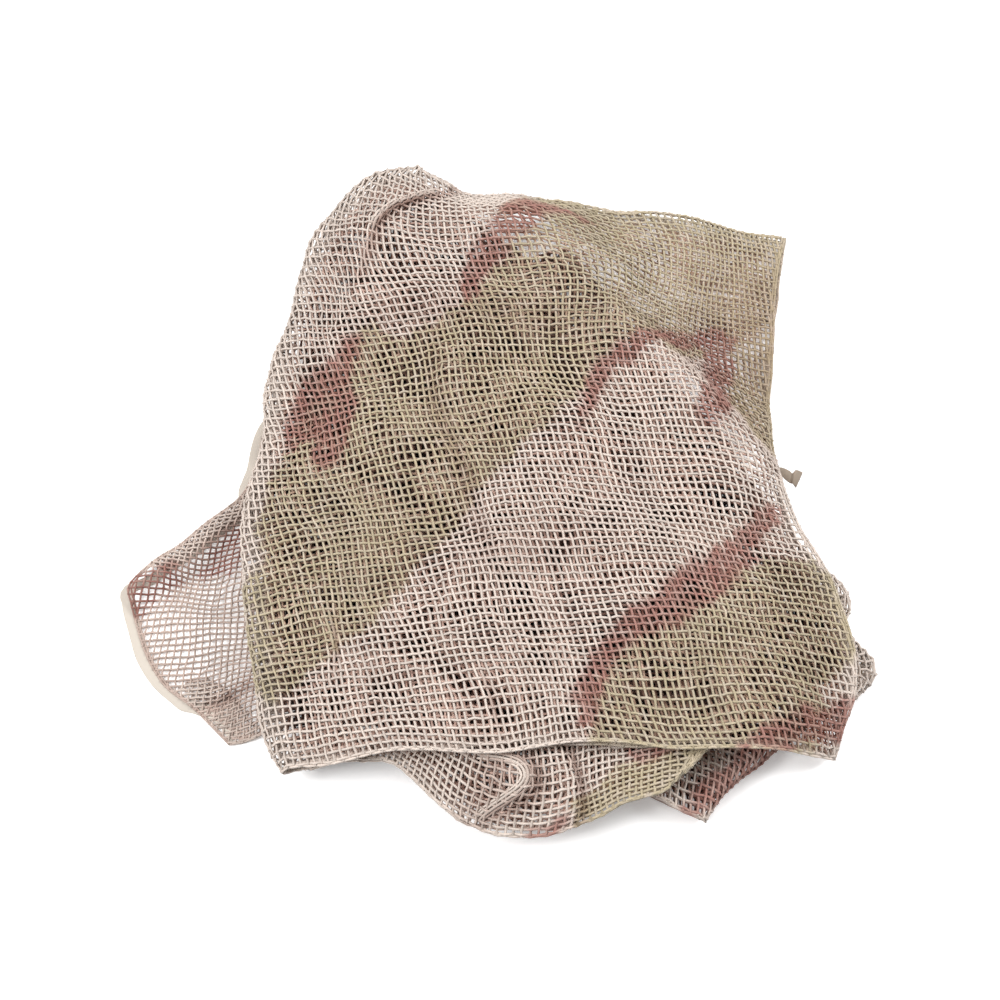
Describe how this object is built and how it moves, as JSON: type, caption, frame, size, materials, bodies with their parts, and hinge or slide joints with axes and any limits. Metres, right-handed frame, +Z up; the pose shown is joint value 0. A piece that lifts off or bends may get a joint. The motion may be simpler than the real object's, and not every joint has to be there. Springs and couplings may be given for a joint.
{
  "type": "scrim scarf",
  "caption": "Open net scarf with a soft blotched desert print, doubled lengthwise and loosely folded back and forth into a low heap, with a tape-bound end and a short loose tape tail.",
  "frame": {"origin": "on the surface that the scarf lies on, under the middle of the heap's box", "axes": "+Z up; +X to the right and +Y away from the near edges, as the picture shows the heap"},
  "size_m": [0.5622, 0.5475, 0.069],
  "materials": {
    "net": "open woven cotton net, printed in pale tan, olive and red brown, matte",
    "binding": "cream cotton tape, doubled over and stitched, matte",
    "tail": "grey-beige woven cotton tape with a cut end, matte"
  },
  "bodies": {
    "root": {"net": "net", "end_binding": "binding", "tape_tail": "tail"}
  },
  "joints": []
}
